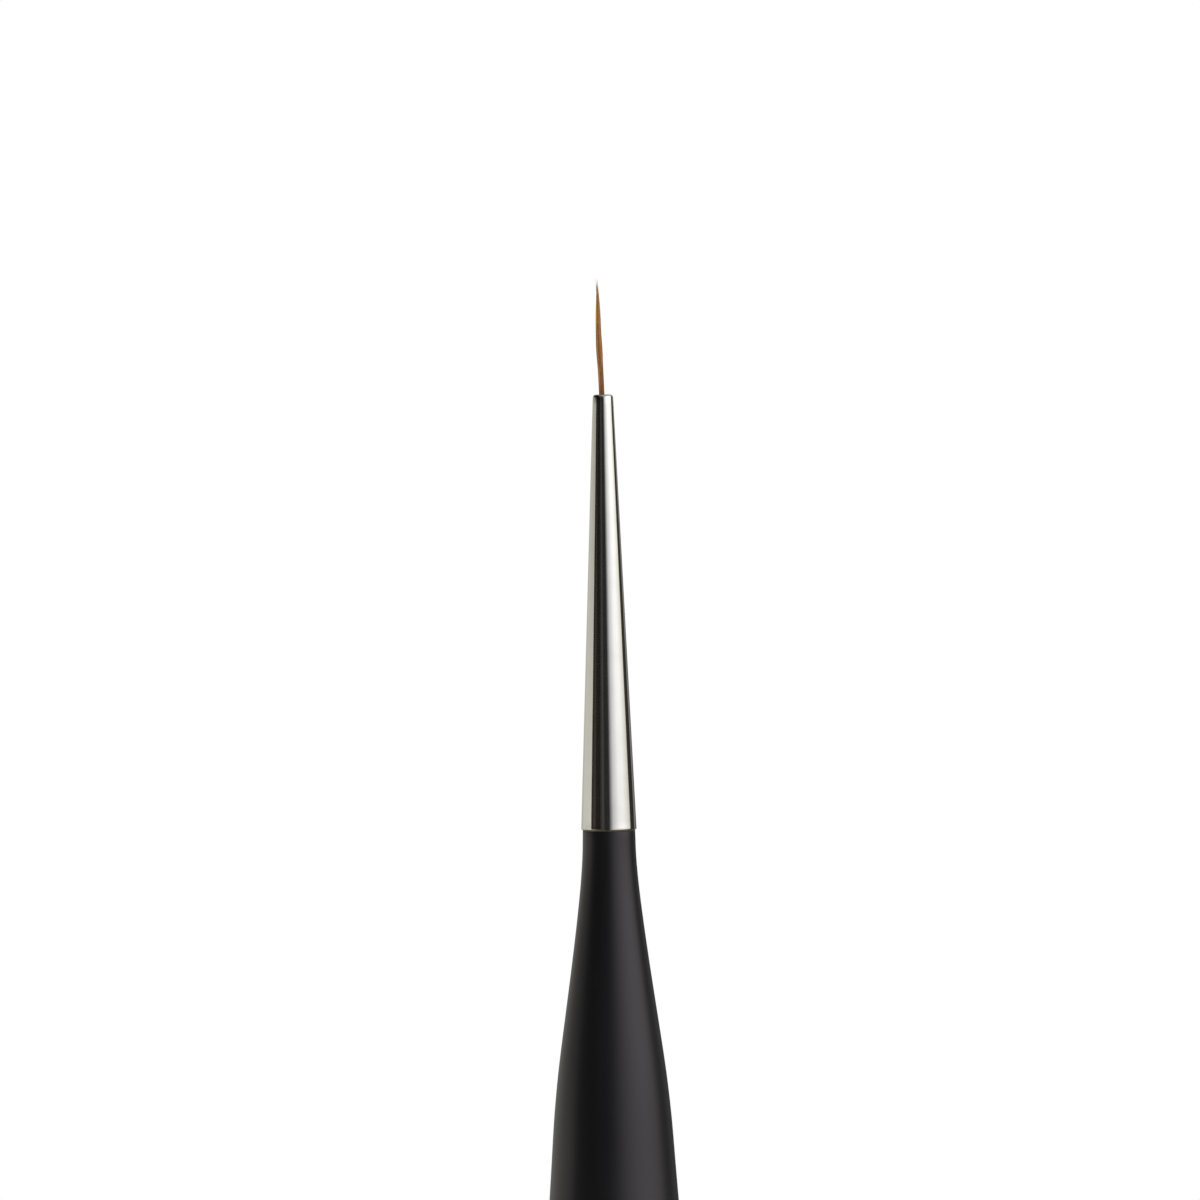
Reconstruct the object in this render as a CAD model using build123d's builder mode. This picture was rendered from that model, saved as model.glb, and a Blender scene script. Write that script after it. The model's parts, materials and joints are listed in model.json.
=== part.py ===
from build123d import *
import math
import os

# Fine detail brush, in millimetres.
# Frame: +Z runs along the brush towards the point of the hair. The origin is on the axis,
# in the middle of the grip, which is the widest stretch of the handle.

# ---- Driving dimensions ----

GRIP_RADIUS = 5.0
GRIP_LENGTH = 6.0  # the stretch of the grip that is straight and truly round
NECK_RADIUS = 1.97  # handle where it meets the ferrule
BUTT_RADIUS = 2.1  # round end of the handle
BUTT_Z = -98.6
LACQUER = 0.12  # thickness of the coat

FERRULE_REAR_Z = 35.0
FERRULE_LENGTH = 32.6
FERRULE_REAR_RADIUS = 2.08
FERRULE_MOUTH_RADIUS = 0.76
FERRULE_WALL = 0.25
LIP_HOLE_RADIUS = 0.33
LIP_DEPTH = 0.35
LIP_OUTER_ROUND = 0.2
LIP_INNER_ROUND = 0.15
REAR_EDGE_ROUND = 0.07

TENON_LENGTH = 12.0
TENON_CHAMFER = 0.4
GLUE_FILM = 0.04
GLUE_BEAD = 0.1  # gap between the handle's shoulder and the ferrule's rear edge

CEMENT_DEPTH = 10.5  # bottom of the plug below the ferrule's mouth
ROOT_DEPTH = 10.0
ROOT_TOP = 0.24  # the roots stop this far below the mouth, which leaves the hairs room to bend

THREAD_RADIUS = 0.045
THREAD_TURNS = 5
THREAD_DEPTH = 7.5
THREAD_CLEARANCE = 0.006

TUFT_LENGTH = 8.78
TUFT_OFFSET = -0.08  # the tuft leaves the mouth slightly to one side of the axis
TUFT_LEAN = 1.4  # degrees, towards -X
HAIR_START = 0.02  # the free hairs begin this far below the mouth
HAIR_FILL = 0.96  # hair thickness as a share of the spacing between hairs
HAIR_POINT_RADIUS = 0.004
HAIR_TAPER = 2.4  # length over which each hair thins to its point

# Spacing of the hairs at heights above the mouth: straight, a slight belly, then a fine point.
SPACING = (
    (-0.02, 0.061),
    (2.2, 0.061),
    (3.3, 0.069),
    (4.8, 0.0575),
    (6.1, 0.0505),
    (7.3, 0.030),
    (TUFT_LENGTH, 0.015),
)

# Hairs stand in rings round a centre hair. Each entry: name, ring number, longest hair.
RINGS = (
    ("inner_hair", 1, 8.5),
    ("middle_hair", 2, 8.1),
    ("outer_hair", 3, 7.6),
)
LENGTH_STEPS = 3  # hairs of a ring differ in length, in this many steps
LENGTH_STEP = 0.12

# ---- Worked out from the driving dimensions ----

MOUTH_Z = FERRULE_REAR_Z + FERRULE_LENGTH
SHOULDER_Z = FERRULE_REAR_Z - GLUE_BEAD
TENON_TOP_Z = FERRULE_REAR_Z + TENON_LENGTH
ROOT_SPACING = SPACING[0][1]
BUNDLE_RADIUS = 3 * ROOT_SPACING + HAIR_FILL * ROOT_SPACING / 2

tuft_axis = Vector(0, 0, 1).rotate(Axis.Y, -TUFT_LEAN)
tuft_plane = Plane(origin=(TUFT_OFFSET, 0, MOUTH_Z), x_dir=Vector(1, 0, 0), z_dir=tuft_axis)


def ferrule_radius(z, depth=0.0):
    """Radius of the ferrule's outer cone at a height, or of the surface that far inside it."""
    share = (z - FERRULE_REAR_Z) / FERRULE_LENGTH
    return FERRULE_REAR_RADIUS + share * (FERRULE_MOUTH_RADIUS - FERRULE_REAR_RADIUS) - depth


def spacing(height):
    """Spacing between hairs at a height above the mouth."""
    for (low, wide), (high, narrow) in zip(SPACING, SPACING[1:]):
        if height <= high:
            return wide + (narrow - wide) * (height - low) / (high - low)
    return SPACING[-1][1]


def ring_places(ring):
    """Places of a ring's hairs, in spacings from the centre hair, as on a honeycomb."""
    if ring == 0:
        return [(0.0, 0.0)]
    places = []
    for side in range(6):
        corner = math.radians(60 * side)
        along = corner + math.radians(120)
        for step in range(ring):
            x = ring * math.cos(corner) + step * math.cos(along)
            y = ring * math.sin(corner) + step * math.sin(along)
            places.append((x, y))
    return places


def handle_side(inset):
    """The handle's side from neck to butt as edges, moved inwards by inset."""
    down = (0, -1)
    grip_top = (GRIP_RADIUS - inset, GRIP_LENGTH / 2)
    grip_end = (GRIP_RADIUS - inset, -GRIP_LENGTH / 2)
    butt_top = (BUTT_RADIUS - inset, BUTT_Z + BUTT_RADIUS)
    Spline(
        (NECK_RADIUS - inset, SHOULDER_Z),
        (2.39 - inset, 29.0),
        (3.56 - inset, 20.4),
        (4.29 - inset, 14.7),
        (4.72 - inset, 9.0),
        grip_top,
        tangents=(down, down),
    )
    Line(grip_top, grip_end)
    Spline(
        grip_end,
        (4.42 - inset, -25.0),
        (3.25 - inset, -56.0),
        butt_top,
        tangents=(down, down),
    )
    CenterArc((0, butt_top[1]), BUTT_RADIUS - inset, 0, -90)


def handle_bottom(inset):
    """Lowest point of the handle, moved inwards by inset."""
    return (0, BUTT_Z + inset)


def save(piece, name):
    """Labels a finished piece and writes its file."""
    piece.part.label = name
    export_step(piece.part, f"parts/{name}.step")


def make_handle_wood():
    tenon_base = ferrule_radius(SHOULDER_Z, FERRULE_WALL + GLUE_FILM)
    tenon_end = ferrule_radius(TENON_TOP_Z, FERRULE_WALL + GLUE_FILM)
    with BuildPart() as wood:
        with BuildSketch(Plane.XZ):
            with BuildLine():
                Polyline(
                    handle_bottom(LACQUER),
                    (0, TENON_TOP_Z),
                    (tenon_end - TENON_CHAMFER, TENON_TOP_Z),
                    (tenon_end, TENON_TOP_Z - TENON_CHAMFER),
                    (tenon_base, SHOULDER_Z),
                    (NECK_RADIUS - LACQUER, SHOULDER_Z),
                )
                handle_side(LACQUER)
            make_face()
        revolve(axis=Axis.Z)
    save(wood, "handle_wood")


def make_handle_lacquer():
    with BuildPart() as lacquer:
        with BuildSketch(Plane.XZ):
            with BuildLine():
                Line((NECK_RADIUS - LACQUER, SHOULDER_Z), (NECK_RADIUS, SHOULDER_Z))
                handle_side(0)
                Line(handle_bottom(0), handle_bottom(LACQUER))
                handle_side(LACQUER)
            make_face()
        revolve(axis=Axis.Z)
    save(lacquer, "handle_lacquer")


def make_ferrule():
    lip_under_z = MOUTH_Z - LIP_DEPTH
    with BuildPart() as ferrule:
        with BuildSketch(Plane.XZ):
            with BuildLine():
                Polyline(
                    (FERRULE_REAR_RADIUS, FERRULE_REAR_Z),
                    (FERRULE_MOUTH_RADIUS, MOUTH_Z),
                    (LIP_HOLE_RADIUS, MOUTH_Z),
                    (LIP_HOLE_RADIUS, lip_under_z),
                    (ferrule_radius(lip_under_z, FERRULE_WALL), lip_under_z),
                    (FERRULE_REAR_RADIUS - FERRULE_WALL, FERRULE_REAR_Z),
                    close=True,
                )
            make_face()
        revolve(axis=Axis.Z)
        mouth_edges = ferrule.edges().group_by(Axis.Z)[-1].sort_by(SortBy.RADIUS)
        fillet(mouth_edges[-1], LIP_OUTER_ROUND)
        mouth_edges = ferrule.edges().group_by(Axis.Z)[-1].sort_by(SortBy.RADIUS)
        fillet(mouth_edges[0], LIP_INNER_ROUND)
        rear_edges = ferrule.edges().group_by(Axis.Z)[0].sort_by(SortBy.RADIUS)
        fillet(rear_edges[-1], REAR_EDGE_ROUND)
    save(ferrule, "ferrule")


def make_ferrule_glue():
    """Film along the tenon, with the bead that fills the gap behind the ferrule's rear edge."""
    film_end_z = TENON_TOP_Z - TENON_CHAMFER
    with BuildPart() as glue:
        with BuildSketch(Plane.XZ):
            with BuildLine():
                Polyline(
                    (ferrule_radius(SHOULDER_Z, FERRULE_WALL + GLUE_FILM), SHOULDER_Z),
                    (ferrule_radius(film_end_z, FERRULE_WALL + GLUE_FILM), film_end_z),
                    (ferrule_radius(film_end_z, FERRULE_WALL), film_end_z),
                    (FERRULE_REAR_RADIUS - FERRULE_WALL, FERRULE_REAR_Z),
                    (FERRULE_REAR_RADIUS - REAR_EDGE_ROUND, FERRULE_REAR_Z),
                    (NECK_RADIUS, SHOULDER_Z),
                    close=True,
                )
            make_face()
        revolve(axis=Axis.Z)
    save(glue, "ferrule_glue")


def make_hair_cement():
    """Plug that fills the ferrule below its lip, round the bundle of roots and its thread."""
    top_z = MOUTH_Z - LIP_DEPTH
    bottom_z = MOUTH_Z - CEMENT_DEPTH
    pocket_radius = BUNDLE_RADIUS + 2 * THREAD_RADIUS + 2 * THREAD_CLEARANCE
    pocket_length = (THREAD_TURNS + 1) * 2 * (THREAD_RADIUS + THREAD_CLEARANCE)
    with BuildPart() as cement:
        with BuildSketch(Plane.XZ):
            with BuildLine():
                Polyline(
                    (0, bottom_z),
                    (0, top_z),
                    (ferrule_radius(top_z, FERRULE_WALL), top_z),
                    (ferrule_radius(bottom_z, FERRULE_WALL), bottom_z),
                    close=True,
                )
            make_face()
        revolve(axis=Axis.Z)
        with BuildSketch(tuft_plane.offset(-ROOT_DEPTH)):
            Circle(BUNDLE_RADIUS + THREAD_CLEARANCE / 2)
        extrude(amount=ROOT_DEPTH, mode=Mode.SUBTRACT)
        with BuildSketch(tuft_plane.offset(-THREAD_DEPTH - pocket_length / 2)):
            Circle(pocket_radius)
        extrude(amount=pocket_length, mode=Mode.SUBTRACT)
    save(cement, "hair_cement")


def make_binding_thread():
    pitch = 2 * (THREAD_RADIUS + THREAD_CLEARANCE)
    length = THREAD_TURNS * pitch
    with BuildPart() as thread:
        with BuildLine(tuft_plane.offset(-THREAD_DEPTH - length / 2)) as winding:
            Helix(pitch, length, BUNDLE_RADIUS + THREAD_RADIUS + THREAD_CLEARANCE)
        with BuildSketch(Plane(origin=winding.line @ 0, z_dir=winding.line % 0)):
            Circle(THREAD_RADIUS)
        sweep(path=winding.line, is_frenet=True)
    save(thread, "binding_thread")


def make_hair_roots():
    """The part of every hair that is set in the ferrule, as separate solids."""
    places = [place for ring in range(4) for place in ring_places(ring)]
    with BuildPart() as roots:
        with BuildSketch(tuft_plane.offset(-ROOT_DEPTH)):
            with Locations(*[(x * ROOT_SPACING, y * ROOT_SPACING) for x, y in places]):
                Circle(HAIR_FILL * ROOT_SPACING / 2)
        extrude(amount=ROOT_DEPTH - ROOT_TOP)
    save(roots, "hair_roots")


def make_hair(name, place, length):
    """One free hair, from the mouth to its point, at a place given in spacings."""
    heights = [-HAIR_START] + [h for h, _ in SPACING[1:] if h < length - HAIR_TAPER / 4] + [length]
    with BuildPart() as hair:
        for height in heights:
            gap = spacing(height)
            thinned = min(1.0, (length - height) / HAIR_TAPER)
            radius = max(HAIR_POINT_RADIUS, HAIR_FILL * gap / 2 * thinned)
            with BuildSketch(tuft_plane.offset(height)):
                with Locations((place[0] * gap, place[1] * gap)):
                    Circle(radius)
        loft(ruled=True)
    save(hair, name)


def make_free_hairs():
    make_hair("centre_hair", (0.0, 0.0), TUFT_LENGTH)
    for name, ring, longest in RINGS:
        for number, place in enumerate(ring_places(ring), start=1):
            length = longest - LENGTH_STEP * ((2 * number + ring) % LENGTH_STEPS)
            make_hair(f"{name}_{number:02d}", place, length)


os.makedirs("parts", exist_ok=True)
make_handle_wood()
make_handle_lacquer()
make_ferrule()
make_ferrule_glue()
make_hair_cement()
make_binding_thread()
make_hair_roots()
make_free_hairs()
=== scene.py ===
"""Fine detail brush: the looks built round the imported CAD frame.

Metres, in the CAD frame: +Z runs along the brush towards the hair, and the camera looks along +Y.
"""

import json
import math
import random

import bpy
import numpy as np
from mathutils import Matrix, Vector


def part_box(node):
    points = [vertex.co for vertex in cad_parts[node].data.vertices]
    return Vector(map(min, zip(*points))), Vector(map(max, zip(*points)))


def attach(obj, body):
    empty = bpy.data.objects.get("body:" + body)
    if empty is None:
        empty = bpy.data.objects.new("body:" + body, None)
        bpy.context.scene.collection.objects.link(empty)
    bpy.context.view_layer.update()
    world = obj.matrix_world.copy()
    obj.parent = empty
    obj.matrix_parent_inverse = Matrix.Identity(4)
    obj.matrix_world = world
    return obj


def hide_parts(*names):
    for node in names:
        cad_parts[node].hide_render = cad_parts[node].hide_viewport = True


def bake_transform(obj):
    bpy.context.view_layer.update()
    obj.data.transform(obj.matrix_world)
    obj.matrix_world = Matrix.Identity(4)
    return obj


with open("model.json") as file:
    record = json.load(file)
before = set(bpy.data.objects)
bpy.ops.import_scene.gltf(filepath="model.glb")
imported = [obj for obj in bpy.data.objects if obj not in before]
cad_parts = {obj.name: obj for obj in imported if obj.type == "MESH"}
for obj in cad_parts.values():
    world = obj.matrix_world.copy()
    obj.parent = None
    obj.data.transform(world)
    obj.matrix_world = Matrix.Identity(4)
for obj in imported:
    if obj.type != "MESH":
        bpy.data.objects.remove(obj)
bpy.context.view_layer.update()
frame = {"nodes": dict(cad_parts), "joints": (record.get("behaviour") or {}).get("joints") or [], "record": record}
random.seed(7)

MM = 0.001

# ---- Places read from the frame ----

FLEX = frame["joints"][0]
MOUTH = Vector(FLEX["pos_m"])
MOUTH_Z = MOUTH.z
FERRULE_REAR_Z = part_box("ferrule")[0].z
NECK_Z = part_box("handle_lacquer")[1].z
BUTT_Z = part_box("handle_lacquer")[0].z
HAIR_POINT = Vector(next(m["pos_m"] for m in frame["record"]["mounts"] if m["name"] == "hair_point"))
TUFT_AXIS = np.array((HAIR_POINT - MOUTH).normalized())
TUFT_LENGTH = (HAIR_POINT - MOUTH).length

# ---- Sizes of the details ----

TURN_STEPS = 128  # facets round a turned piece
SNAP = 0.001 * MM  # heights this close count as equal
FACING_OUT = 0.05  # least outward part of the normal of an outer face

LACQUER = 0.12 * MM
LACQUER_EDGE = 0.05 * MM  # round on the coat's edge beside the ferrule
LACQUER_RINGS = 300
LACQUER_GUIDES = 1.6 * MM  # least distance between the CAD rings that the coat is drawn through
BUTT_RADIUS = 2.1 * MM
BUTT_STEPS = 24

FERRULE_REAR = 2.08 * MM  # outer radius of the cone at its rear end
FERRULE_MOUTH = 0.76 * MM  # and at its mouth
FERRULE_WALL = 0.25 * MM
FERRULE_RINGS = 60
LIP_HOLE = 0.33 * MM  # radius
LIP_DEPTH = 0.35 * MM
LIP_OUTER_ROUND = 0.2 * MM
LIP_INNER_ROUND = 0.15 * MM
REAR_EDGE_ROUND = 0.07 * MM
CONE_SLOPE_DEG = 2  # lean of its side, where the lip's rounding starts
WORN_EDGE = 0.09 * MM  # how far up from the rear edge the brass shows

OUTER_RING = 0.19 * MM  # how far the outermost hairs stand from the middle of the bundle
STRANDS = 3  # fine hairs in the place of each CAD hair
STRAND_PLACE = 0.56  # how far each stands from that hair's centre, as a share of its radius
STRAND_WIDTH = 0.40  # and how thick it is
STRAND_SIDES = 8
STRAND_RINGS = 48
RING_BIAS = 0.85  # below 1, the rings stand closer together towards the point
STRAND_TWIST = 1.1  # turns about each other from root to point, at most
ROOT_TOP = 0.24 * MM  # where the hairs come out of the resin, below the mouth
HAIR_BOW = 0.012 * MM  # how far the outermost hairs bow out from their CAD stand-ins
TUFT_SWEEP = Vector((-0.07, 0.02, 0)) * MM  # how far the middle of the tuft bows

POINT_RADIUS = 0.013 * MM
POINT_TAPER = 0.5 * MM
POINT_BLUNT = 0.15  # width left at the very point, as a share
POINT_REACH = 0.3 * MM  # how much longer a hair may be than its CAD stand-in
POINT_SPREAD = 0.35 * MM  # how much shorter the other strands of a hair may be
POINT_SPLAY = (0.08 * MM, 0.13 * MM)  # how far the points of the middle and the outermost hairs stand out
SPLAY_START = 14  # the higher, the nearer to the point they begin to
POINT_FLICK = Vector((-0.08, -0.03, 0)) * MM  # how far the tuft's point turns aside
FLICK_START = 9

FLOOR_RADIUS = 600 * MM
FLOOR_FADE = 0.3  # where the floor starts to fade into the white, as a share of its radius


# ---- Meshes ----


def add_mesh(name, points, faces, sharp_deg=30):
    """A smooth-shaded object with hard edges where its faces turn sharply."""
    mesh = bpy.data.meshes.new(name)
    mesh.from_pydata(points, [], faces)
    mesh.validate()
    mesh.shade_smooth()
    mesh.set_sharp_from_angle(angle=math.radians(sharp_deg))
    piece = bpy.data.objects.new(name, mesh)
    bpy.context.scene.collection.objects.link(piece)
    return piece


def turned(name, outline):
    """A closed outline of (radius, height) turned round the Z axis into a closed mesh."""
    points, rings = [], []
    for radius, height in outline:
        if radius == 0:
            rings.append([len(points)])
            points.append((0, 0, height))
            continue
        rings.append(list(range(len(points), len(points) + TURN_STEPS)))
        for step in range(TURN_STEPS):
            angle = math.tau * step / TURN_STEPS
            points.append((radius * math.cos(angle), radius * math.sin(angle), height))
    faces = []
    for ring, following in zip(rings, rings[1:] + rings[:1]):
        for step in range(TURN_STEPS):
            after = (step + 1) % TURN_STEPS
            if len(ring) == 1 and len(following) == 1:
                break
            if len(ring) == 1:
                faces.append((ring[0], following[after], following[step]))
            elif len(following) == 1:
                faces.append((ring[step], ring[after], following[0]))
            else:
                faces.append((ring[step], ring[after], following[after], following[step]))
    return add_mesh(name, points, faces)


def arc(centre, radius, start_deg, end_deg, steps):
    """Points of an arc in the (radius, height) plane."""
    points = []
    for step in range(steps + 1):
        angle = math.radians(start_deg + (end_deg - start_deg) * step / steps)
        points.append((centre[0] + radius * math.cos(angle), centre[1] + radius * math.sin(angle)))
    return points


def smooth_through(xs, ys, at):
    """Cubic curve through points, with slopes from their neighbours."""
    xs, ys, at = np.array(xs), np.array(ys), np.array(at)
    slopes = np.gradient(ys, xs, axis=0)
    k = np.clip(np.searchsorted(xs, at) - 1, 0, len(xs) - 2)
    span = xs[k + 1] - xs[k]
    t = (at - xs[k]) / span
    shape = (-1,) + (1,) * (ys.ndim - 1)
    t, span = t.reshape(shape), span.reshape(shape)
    return (
        (2 * t**3 - 3 * t**2 + 1) * ys[k]
        + (t**3 - 2 * t**2 + t) * span * slopes[k]
        + (3 * t**2 - 2 * t**3) * ys[k + 1]
        + (t**3 - t**2) * span * slopes[k + 1]
    )


def outer_outline(node, start, spacing):
    """Heights and radii of a turned CAD node's outer surface above start, at least spacing apart."""
    mesh = frame["nodes"][node].data
    found = {}
    for face in mesh.polygons:
        outward = Vector((face.center.x, face.center.y, 0))
        if outward.length > 0 and face.normal.dot(outward.normalized()) > FACING_OUT:
            for index in face.vertices:
                place = mesh.vertices[index].co
                found[round(place.z, 6)] = math.hypot(place.x, place.y)
    heights = sorted(height for height in found if height > start - SNAP)
    kept = [heights[0]]
    for height in heights[1:-1]:
        if height - kept[-1] >= spacing and heights[-1] - height >= spacing:
            kept.append(height)
    kept.append(heights[-1])
    return kept, [found[height] for height in kept]


def make_lacquer():
    """The coat over the whole handle, with its edge rounded off against the ferrule."""
    start = BUTT_Z + BUTT_RADIUS
    heights, radii = outer_outline("handle_lacquer", start, LACQUER_GUIDES)
    side = np.linspace(start, NECK_Z - LACQUER_EDGE, LACQUER_RINGS)
    widths = np.minimum(smooth_through(heights, radii, side), max(radii))
    outer = [(float(r), float(z)) for r, z in zip(widths, side)]
    butt = arc((0, start), BUTT_RADIUS, -90, 0, steps=BUTT_STEPS)[1:-1]
    edge_centre = (outer[-1][0] - LACQUER_EDGE, NECK_Z - LACQUER_EDGE)
    top = arc(edge_centre, LACQUER_EDGE, 0, 90, steps=5)[1:]
    inner = [(r - LACQUER, z) for r, z in reversed(outer)]
    inner[0] = (inner[0][0], NECK_Z)
    inner_butt = arc((0, start), BUTT_RADIUS - LACQUER, 0, -90, steps=BUTT_STEPS)[1:-1]
    bottom = [(0, BUTT_Z + LACQUER), (0, BUTT_Z)]
    return turned("lacquer_coat", butt + outer + top + inner + inner_butt + bottom)


def cone_radius(z, depth=0.0):
    """Radius of the ferrule's cone at a height, or of the surface that far inside it."""
    share = (z - FERRULE_REAR_Z) / (MOUTH_Z - FERRULE_REAR_Z)
    return FERRULE_REAR + share * (FERRULE_MOUTH - FERRULE_REAR) - depth


def make_ferrule():
    """The plated cone, with its mouth turned in to a rounded lip and its rear edge eased."""
    lip_z = MOUTH_Z - LIP_DEPTH
    rear_centre = (FERRULE_REAR - REAR_EDGE_ROUND, FERRULE_REAR_Z + REAR_EDGE_ROUND)
    rear = arc(rear_centre, REAR_EDGE_ROUND, -90, 0, steps=8)
    cone_start = FERRULE_REAR_Z + 2 * REAR_EDGE_ROUND
    cone_end = MOUTH_Z - 1.3 * LIP_OUTER_ROUND
    cone = [(cone_radius(z), float(z)) for z in np.linspace(cone_start, cone_end, FERRULE_RINGS)]
    outer_centre = (FERRULE_MOUTH - LIP_OUTER_ROUND, MOUTH_Z - LIP_OUTER_ROUND)
    lip_out = arc(outer_centre, LIP_OUTER_ROUND, CONE_SLOPE_DEG, 90, steps=14)
    inner_centre = (LIP_HOLE + LIP_INNER_ROUND, MOUTH_Z - LIP_INNER_ROUND)
    lip_in = arc(inner_centre, LIP_INNER_ROUND, 90, 180, steps=12)
    inside = [
        (LIP_HOLE, lip_z),
        (cone_radius(lip_z, FERRULE_WALL), lip_z),
        (FERRULE_REAR - FERRULE_WALL, FERRULE_REAR_Z),
    ]
    return turned("ferrule_shell", rear + cone + lip_out + lip_in + inside)


def stations(node):
    """A CAD hair's heights above the mouth, centres and radii, one per ring of its mesh."""
    rings = {}
    for vertex in frame["nodes"][node].data.vertices:
        height = float((np.array(vertex.co) - np.array(MOUTH)) @ TUFT_AXIS)
        rings.setdefault(round(height, 5), []).append(np.array(vertex.co))
    heights = sorted(rings)
    centres = [np.mean(rings[h], axis=0) for h in heights]
    radii = [np.linalg.norm(np.array(rings[h]) - c, axis=1).max() for h, c in zip(heights, centres)]
    return heights, np.array(centres), np.array(radii)


def tube(line, width, forward, sideways, first):
    """Points and faces of a closed tube along a line, numbered from first."""
    points, faces = [], []
    for centre, radius in zip(line, width):
        for side in range(STRAND_SIDES):
            angle = math.tau * side / STRAND_SIDES
            points.append(tuple(centre + radius * (math.cos(angle) * forward + math.sin(angle) * sideways)))
    for level in range(len(line) - 1):
        low = first + level * STRAND_SIDES
        for side in range(STRAND_SIDES):
            after = (side + 1) % STRAND_SIDES
            faces.append((low + side, low + after, low + STRAND_SIDES + after, low + STRAND_SIDES + side))
    faces.append(tuple(reversed(range(first, first + STRAND_SIDES))))
    end = first + len(points)
    faces.append(tuple(range(end - STRAND_SIDES, end)))
    return points, faces


def make_hair(node):
    """The fine strands that stand for one CAD hair, from the resin to their points.

    Along them, climb runs from 0 at the mouth to 1 at the point of the tuft."""
    heights, centres, radii = stations(node)
    away = centres[0] - np.array(MOUTH)
    away -= TUFT_AXIS * (away @ TUFT_AXIS)
    ring = np.linalg.norm(away) / OUTER_RING
    outward = away / np.linalg.norm(away) if ring > 0.01 else np.array((1.0, 0, 0))
    sideways = np.cross(TUFT_AXIS, outward)
    forward = np.cross(sideways, TUFT_AXIS)
    longest = min(heights[-1] + random.uniform(0.3, 1.0) * POINT_REACH, TUFT_LENGTH)
    bow = HAIR_BOW * ring * random.uniform(0.2, 1.0)
    splay = POINT_SPLAY[0] + ring * (POINT_SPLAY[1] - POINT_SPLAY[0])
    turn, twist = random.uniform(0, math.tau), random.uniform(-1, 1) * STRAND_TWIST
    points, faces, ups, tones = [], [], [], []
    for strand in range(STRANDS):
        last = longest - (random.uniform(0.2, 1.0) * POINT_SPREAD if strand else 0)
        along = -ROOT_TOP + (last + ROOT_TOP) * np.linspace(0, 1, STRAND_RINGS) ** RING_BIAS
        inside = np.clip(along, heights[0], heights[-1])
        climb = np.clip(along / TUFT_LENGTH, 0, 1)
        room = np.interp(inside, heights, radii)
        line = smooth_through(heights, centres, inside) + np.outer(along - inside, TUFT_AXIS)
        line += np.outer(bow * np.sin(math.pi * climb) ** 2, outward)
        line += np.outer(splay * climb**SPLAY_START, outward)
        line += np.outer(np.sin(math.pi * climb) ** 2, TUFT_SWEEP)
        line += np.outer(climb**FLICK_START, POINT_FLICK)
        angle = turn + math.tau * (strand / STRANDS + twist * climb)
        line += np.outer(room * STRAND_PLACE * np.cos(angle), forward)
        line += np.outer(room * STRAND_PLACE * np.sin(angle), sideways)
        width = np.maximum(room * STRAND_WIDTH, POINT_RADIUS)
        width *= np.minimum(1, POINT_BLUNT + (last - along) / POINT_TAPER)
        added = tube(line, width, forward, sideways, len(points))
        points += added[0]
        faces += added[1]
        ups.append(np.repeat(along / TUFT_LENGTH, STRAND_SIDES))
        tones.append(np.full(len(along) * STRAND_SIDES, random.random()))
    piece = add_mesh(f"{node}_strands", points, faces, 60)
    store(piece, "up_tuft", np.concatenate(ups))
    store(piece, "tone", np.concatenate(tones))
    return piece


def store(piece, name, values):
    """Keeps one number for each point of a piece, for its material to read."""
    made = piece.data.attributes.new(name, "FLOAT", "POINT")
    made.data.foreach_set("value", np.asarray(values, np.float32))


# ---- Materials ----


class Nodes:
    """Short ways to add and join the nodes of a material or of the world."""

    def __init__(self, tree):
        self.tree = tree

    def put(self, socket, value):
        """Sets a socket to a value, or joins another node's socket to it."""
        if isinstance(value, bpy.types.NodeSocket):
            self.tree.links.new(value, socket)
        else:
            socket.default_value = value

    def node(self, kind, **inputs):
        """A new node, with its inputs set by name."""
        made = self.tree.nodes.new(f"ShaderNode{kind}")
        for name, value in inputs.items():
            self.put(made.inputs[name.replace("_", " ")], value)
        return made

    def calculate(self, operation, *values):
        """One step of arithmetic, such as "MULTIPLY" or "ARCTAN2"."""
        made = self.node("Math")
        made.operation = operation
        for socket, value in zip(made.inputs, values):
            self.put(socket, value)
        return made.outputs["Value"]

    def spread(self, value, low, high, start=0.0, end=1.0):
        """A value that runs from start to end turned into one from low to high."""
        made = self.node("MapRange", Value=value)
        for name, limit in (("From Min", start), ("From Max", end), ("To Min", low), ("To Max", high)):
            made.inputs[name].default_value = limit
        return made.outputs["Result"]

    def ramp(self, value, *stops):
        """Colours along a value: each stop is (place, (r, g, b))."""
        made = self.node("ValToRGB", Fac=value)
        elements = made.color_ramp.elements
        while len(elements) < len(stops):
            elements.new(0.5)
        for element, (place, colour) in zip(elements, stops):
            element.position = place
            element.color = (*colour, 1)
        return made.outputs["Color"]

    def mix(self, share, first, second, blend="MIX"):
        """Two colours mixed, or multiplied with blend "MULTIPLY"."""
        made = self.node("Mix")
        made.data_type = "RGBA"
        made.blend_type = blend
        self.put(made.inputs["Factor"], share)
        for socket, colour in ((made.inputs[6], first), (made.inputs[7], second)):
            self.put(socket, (*colour, 1) if isinstance(colour, tuple) else colour)
        return made.outputs[2]


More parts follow.
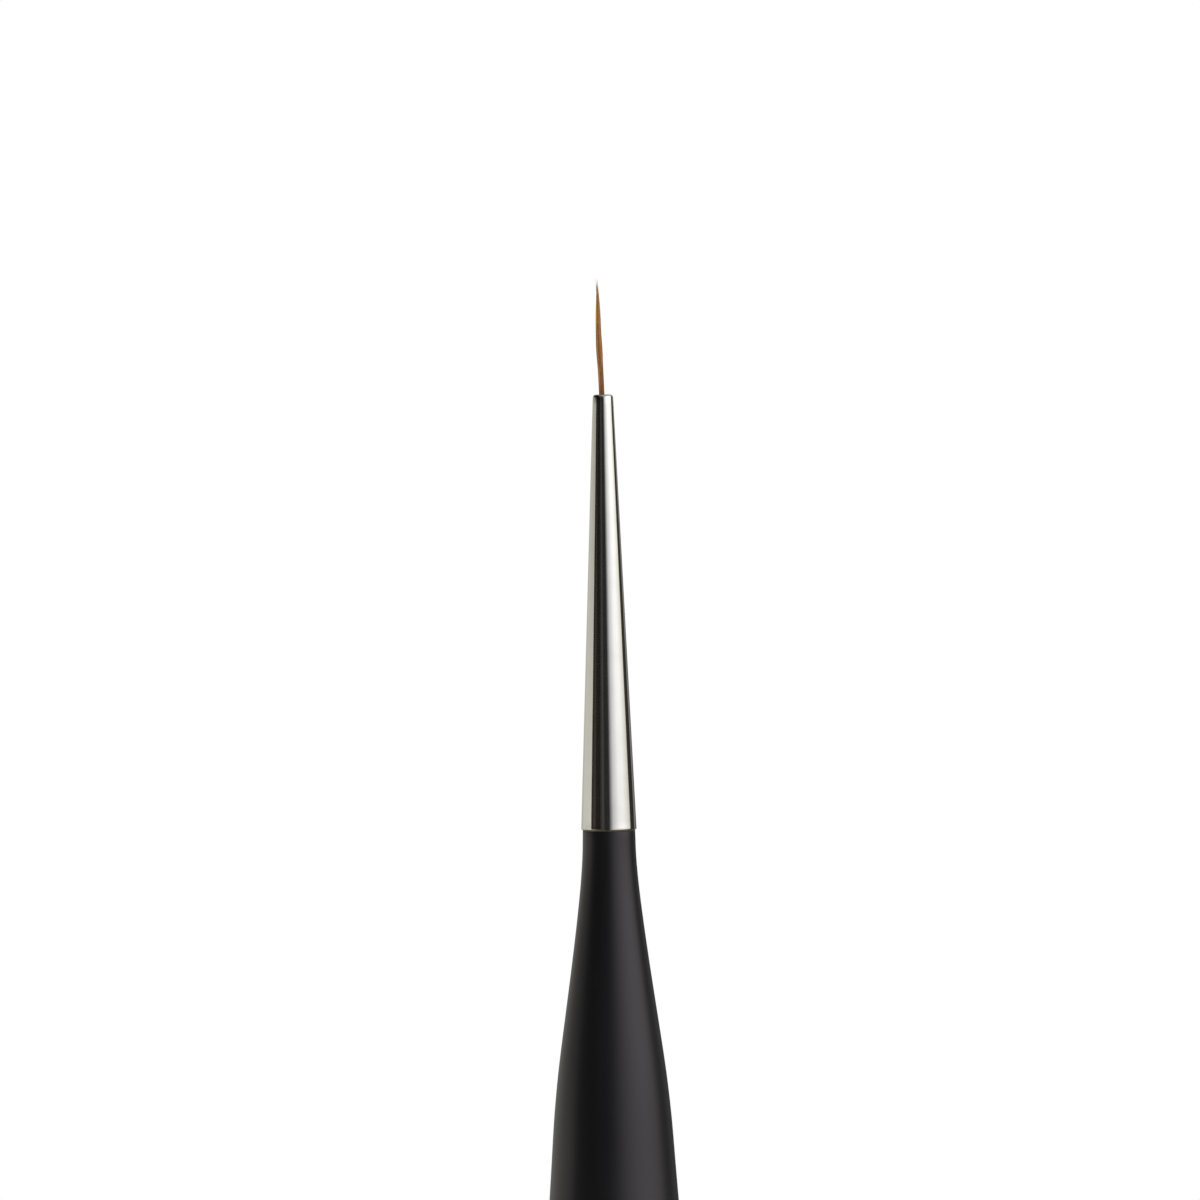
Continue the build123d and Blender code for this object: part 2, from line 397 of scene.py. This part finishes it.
class Paint(Nodes):
    """A material with one Principled shader."""

    def __init__(self, name):
        self.material = bpy.data.materials.new(name)
        self.material.use_nodes = True
        super().__init__(self.material.node_tree)
        self.surface = self.tree.nodes["Principled BSDF"]

    def set(self, **inputs):
        """Sets inputs of the Principled shader by name."""
        for name, value in inputs.items():
            self.put(self.surface.inputs[name.replace("_", " ")], value)

    def noise(self, scale, stretch=(1, 1, 1), detail=3.0):
        """Noise with scale features per millimetre, stretched along the axes."""
        place = self.node("Mapping", Vector=self.node("TexCoord").outputs["Object"])
        place.inputs["Scale"].default_value = [share / MM for share in stretch]
        made = self.node("TexNoise", Vector=place.outputs["Vector"], Scale=scale, Detail=detail)
        return made.outputs["Fac"]

    def kept(self, name):
        """A number that the mesh keeps for each point."""
        made = self.node("Attribute")
        made.attribute_name = name
        return made.outputs["Fac"]

    def height(self):
        """Height in the frame."""
        return self.node("SeparateXYZ", Vector=self.node("TexCoord").outputs["Object"]).outputs["Z"]

    def bump(self, height, distance, strength=1.0, under=None):
        """Small relief, on top of the relief under it if there is one."""
        made = self.node("Bump", Height=height, Strength=strength, Distance=distance)
        if under is not None:
            self.put(made.inputs["Normal"], under)
        return made.outputs["Normal"]


def nickel():
    """Polished nickel plate: drawn lines along the cone, faint smears, brass at the worn rear edge."""
    paint = Paint("nickel_plate")
    drawn = paint.noise(9, (1, 1, 0.02), 4)
    smear = paint.noise(0.8, detail=2)
    plate = paint.ramp(smear, (0.3, (0.68, 0.665, 0.64)), (0.7, (0.72, 0.705, 0.68)))
    worn = paint.spread(paint.height(), 1, 0, FERRULE_REAR_Z, FERRULE_REAR_Z + WORN_EDGE)
    paint.set(Base_Color=paint.mix(worn, plate, (0.62, 0.47, 0.27)), Metallic=1.0)
    paint.set(Roughness=paint.spread(smear, 0.05, 0.09))
    paint.set(Normal=paint.bump(drawn, 0.0016 * MM, 0.6))
    return paint.material


def black_lacquer():
    """Satin black lacquer, with the slight orange peel of a dipped coat."""
    paint = Paint("black_lacquer")
    cloud = paint.noise(0.12, (1, 1, 0.4), 2)
    peel = paint.noise(0.9, (1, 1, 0.6), 2)
    grain = paint.noise(14, detail=1)
    paint.set(Base_Color=paint.ramp(cloud, (0.3, (0.0042, 0.0040, 0.0044)), (0.7, (0.0066, 0.0063, 0.0069))))
    paint.set(Roughness=paint.spread(cloud, 0.35, 0.41), IOR=1.52, Specular_Tint=(1.0, 0.95, 1.04, 1))
    paint.set(Normal=paint.bump(grain, 0.0004 * MM, 0.5, paint.bump(peel, 0.002 * MM, 0.6)))
    return paint.material


def hair_brown():
    """Brown hair: darker at the root and paler towards the point, with a pale grey painted at the very point for
    light showing through the thin tips; each hair its own tone.
    """
    paint = Paint("brown_hair")
    # The two pale stops at the point are painted light: they stand in for light showing through the thin tips.
    colour = paint.ramp(
        paint.kept("up_tuft"),
        (0.0, (0.38, 0.175, 0.062)),
        (0.3, (0.49, 0.24, 0.088)),
        (0.83, (0.44, 0.22, 0.060)),
        (0.92, (0.56, 0.43, 0.25)),
        (1.0, (0.56, 0.53, 0.47)),
    )
    streak = paint.noise(3, (1, 1, 0.2), 3)
    shade = paint.ramp(streak, (0.3, (0.7, 0.7, 0.7)), (0.7, (1.15, 1.1, 1.05)))
    tone = paint.ramp(paint.kept("tone"), (0.0, (0.65, 0.6, 0.58)), (1.0, (1.3, 1.3, 1.3)))
    paint.set(Base_Color=paint.mix(1.0, paint.mix(1.0, colour, shade, "MULTIPLY"), tone, "MULTIPLY"))
    paint.set(Roughness=0.5, IOR=1.4)
    paint.set(Normal=paint.bump(paint.noise(30, (1, 1, 3), 1), 0.0006 * MM, 0.3))
    return paint.material


def clouded(name, scale, dark, light, rough, depth, stretch=(1, 1, 1), detail=3):
    """A plain material whose colour, gloss and surface follow one noise."""
    paint = Paint(name)
    cloud = paint.noise(scale, stretch, detail)
    paint.set(Base_Color=paint.ramp(cloud, (0.3, dark), (0.7, light)))
    paint.set(Roughness=paint.spread(cloud, *rough))
    paint.set(Normal=paint.bump(cloud, depth, 0.5))
    return paint.material


def amber_glue():
    return clouded("amber_glue", 6, (0.045, 0.034, 0.022), (0.085, 0.065, 0.042), (0.22, 0.4), 0.01 * MM)


def resin():
    return clouded("cast_resin", 5, (0.24, 0.14, 0.05), (0.36, 0.23, 0.09), (0.15, 0.3), 0.01 * MM)


def cotton():
    return clouded("cotton", 30, (0.42, 0.38, 0.30), (0.68, 0.64, 0.54), (0.85, 0.95), 0.01 * MM, (1, 1, 0.4))


def birch():
    grain = (1, 1, 0.05)
    return clouded("birch", 1.2, (0.36, 0.22, 0.11), (0.56, 0.39, 0.22), (0.55, 0.7), 0.03 * MM, grain, 6)


def pale_floor():
    """Matt white table, which fades into the white round it towards its rim."""
    paint = Paint("pale_floor")
    paint.set(Base_Color=paint.ramp(paint.noise(0.4), (0.3, (0.775,) * 3), (0.7, (0.785,) * 3)))
    paint.set(Roughness=0.8, Specular_IOR_Level=0.0)
    distance = paint.node("VectorMath", Vector=paint.node("TexCoord").outputs["Object"])
    distance.operation = "LENGTH"
    rim = paint.spread(distance.outputs["Value"], 0, 1, FLOOR_FADE * FLOOR_RADIUS, FLOOR_RADIUS)
    faded = paint.node("MixShader", Fac=rim)
    paint.put(faded.inputs[1], paint.surface.outputs["BSDF"])
    paint.put(faded.inputs[2], paint.node("BsdfTransparent").outputs["BSDF"])
    paint.put(paint.tree.nodes["Material Output"].inputs["Surface"], faded.outputs["Shader"])
    return paint.material


# ---- Studio ----

WARM = (1.0, 0.985, 0.885)
PLAIN = (1.0, 1.0, 1.0)
COOL = (0.98, 0.97, 1.02)
DUSK = (1.0, 0.88, 0.72)

# What stands round the brush, as its reflections show it: name, from and to in degrees round Z
# (0 faces the camera, positive towards +X), the brightness at each end, and the tint.
STUDIO = (
    ("sheet behind, in shade", -180, -138, 0.52, 0.72, WARM),
    ("sheet behind", -134, -81, 0.80, 0.90, WARM),
    ("wall", -79, -60, 0.030, 0.075, DUSK),
    ("dark wall", -58, -41, 0.028, 0.020, DUSK),
    ("wall beside the camera", -39, -28, 0.018, 0.060, PLAIN),
    ("stand", -26, -19, 0.085, 0.060, PLAIN),
    ("camera", -17, 1, 0.026, 0.030, PLAIN),
    ("softbox's near edge", 3, 20, 0.045, 0.70, COOL),
    ("softbox", 45, 66, 1.05, 1.08, PLAIN),
    ("softbox's far edge", 98, 101, 0.77, 0.64, WARM),
    ("wall", 103, 132, 0.040, 0.035, DUSK),
    ("sheet behind, in shade", 134, 149, 0.22, 0.34, PLAIN),
    ("stand behind", 151, 161, 0.05, 0.05, DUSK),
    ("sheet behind, in shade", 163, 180, 0.44, 0.50, PLAIN),
)
BRIGHTEST = 1.08

# Heights below are sines of the angle above the horizon, and ranges are where a change starts and ends.
OVERHEAD = 0.36  # brightness of the ceiling
CEILING = (0.22, 0.60)  # heights over which the walls turn into it
TABLE_DIMMING = 0.8  # brightness of the table behind the brush, beside the sheet above it
TABLE = (0.05, -0.08)  # heights over which the sheet turns into it
BEHIND = (-0.05, 0.15)  # how far behind the brush the table starts
LEAN = 5.0  # how fast the studio brightens with height on the right, and dims on the left
LEAN_TOP = 0.25  # height up to which it does
SURROUND = 0.75  # soft light from all round

LAMP_SIDE = 400 * MM
LAMP_Y = -50 * MM
LAMP_Z = 500 * MM
LAMP_SIZE = 300 * MM
LAMP_AIM = Vector((0, 0, 50 * MM))


def reflected_studio(nodes):
    """The studio by direction: its bands round the brush, an even ceiling and a dimmer table behind.

    The softbox leans over the brush, so it is brighter up to the right than level with the brush."""
    place = nodes.node("SeparateXYZ", Vector=nodes.node("TexCoord").outputs["Generated"])
    towards_camera = nodes.calculate("MULTIPLY", place.outputs["Y"], -1.0)
    turn = nodes.calculate("ARCTAN2", place.outputs["X"], towards_camera)
    stops = []
    for _, start, end, start_glow, end_glow, tint in STUDIO:
        for degrees, glow in ((start, start_glow), (end, end_glow)):
            stops.append(((degrees + 180) / 360, tuple(glow / BRIGHTEST * part for part in tint)))
    bands = nodes.ramp(nodes.spread(turn, 0, 1, -math.pi, math.pi), *stops)
    ceiling = nodes.spread(place.outputs["Z"], 0, 1, *CEILING)
    glow = nodes.mix(ceiling, bands, (OVERHEAD / BRIGHTEST,) * 3)
    low = nodes.spread(place.outputs["Z"], 0, 1, *TABLE)
    behind = nodes.spread(place.outputs["Y"], 0, 1, *BEHIND)
    table = nodes.spread(nodes.calculate("MULTIPLY", low, behind), 1.0, TABLE_DIMMING)
    height = nodes.spread(place.outputs["Z"], 0, LEAN * LEAN_TOP, 0, LEAN_TOP)
    lean = nodes.calculate("MAXIMUM", nodes.calculate("MULTIPLY_ADD", place.outputs["X"], height, 1.0), 0.0)
    strength = nodes.calculate("MULTIPLY", nodes.calculate("MULTIPLY", lean, table), BRIGHTEST)
    return nodes.node("Background", Color=glow, Strength=strength).outputs["Background"]


def make_world():
    """White where the camera looks, soft white light all round, and the studio in reflections."""
    world = bpy.data.worlds.new("studio")
    world.use_nodes = True
    bpy.context.scene.world = world
    nodes = Nodes(world.node_tree)
    rays = nodes.node("LightPath")
    plain = world.node_tree.nodes["Background"]
    plain.inputs["Color"].default_value = (1, 1, 1, 1)
    nodes.put(plain.inputs["Strength"], nodes.spread(rays.outputs["Is Camera Ray"], SURROUND, 1.0))
    chosen = nodes.node("MixShader", Fac=rays.outputs["Is Glossy Ray"])
    nodes.put(chosen.inputs[1], plain.outputs["Background"])
    nodes.put(chosen.inputs[2], reflected_studio(nodes))
    nodes.put(world.node_tree.nodes["World Output"].inputs["Surface"], chosen.outputs["Shader"])


def make_floor():
    """A round pale table under the butt."""
    rim = []
    for step in range(TURN_STEPS):
        angle = math.tau * step / TURN_STEPS
        rim.append((FLOOR_RADIUS * math.cos(angle), FLOOR_RADIUS * math.sin(angle), BUTT_Z))
    floor = add_mesh("floor", rim, [tuple(range(TURN_STEPS))])
    floor.data.materials.append(pale_floor())
    floor.visible_glossy = False


def make_lamps():
    """Two large soft lamps above, one to each side, which look at the brush."""
    for name, side, watts in (("lamp_left", -1, 1.2), ("lamp_right", 1, 2.0)):
        lamp = bpy.data.lights.new(name, "AREA")
        lamp.energy = watts
        lamp.size = LAMP_SIZE
        light = bpy.data.objects.new(name, lamp)
        light.location = (side * LAMP_SIDE, LAMP_Y, LAMP_Z)
        light.rotation_euler = (light.location - LAMP_AIM).to_track_quat("Z", "Y").to_euler()
        light.visible_glossy = False
        bpy.context.scene.collection.objects.link(light)


# ---- Camera ----

FIELD = 90 * MM  # width of the picture at the brush
LENS = 180.0
SENSOR = 36.0
LOOK_X = -0.43 * MM  # beside the brush's axis
LOOK_Z = MOUTH_Z - 15.4 * MM
ROLL_DEG = 0.8


def make_camera():
    """A long level lens, rolled slightly so that the brush leans to the left."""
    camera = bpy.data.cameras.new("camera")
    camera.lens = LENS
    camera.sensor_width = SENSOR
    camera.clip_start = 0.01
    body = bpy.data.objects.new("camera", camera)
    bpy.context.scene.collection.objects.link(body)
    body.location = (LOOK_X, -FIELD * LENS / SENSOR, LOOK_Z)
    body.rotation_euler = (math.radians(90), math.radians(ROLL_DEG), 0)
    bpy.context.scene.camera = body


# ---- The brush ----


def wear(piece, material, stands_for):
    """Gives a piece its material, in place of its CAD node."""
    piece.data.materials.clear()
    piece.data.materials.append(material)
    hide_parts(stands_for)
    return piece


bpy.context.scene.view_settings.view_transform = "Standard"
make_camera()
make_world()
make_floor()
make_lamps()

hair_paint = hair_brown()
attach(wear(make_ferrule(), nickel(), "ferrule"), "brush")
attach(wear(make_lacquer(), black_lacquer(), "handle_lacquer"), "brush")
cad_paint = {
    "handle_wood": birch(),
    "ferrule_glue": amber_glue(),
    "hair_cement": resin(),
    "binding_thread": cotton(),
    "hair_roots": hair_paint,
}
for node, material in cad_paint.items():
    shown = frame["nodes"][node]
    shown.data.materials.clear()
    shown.data.materials.append(material)

for node in frame["record"]["behaviour"]["bodies"]["tuft"]:
    hair = wear(make_hair(node), hair_paint, node)
    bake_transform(hair)
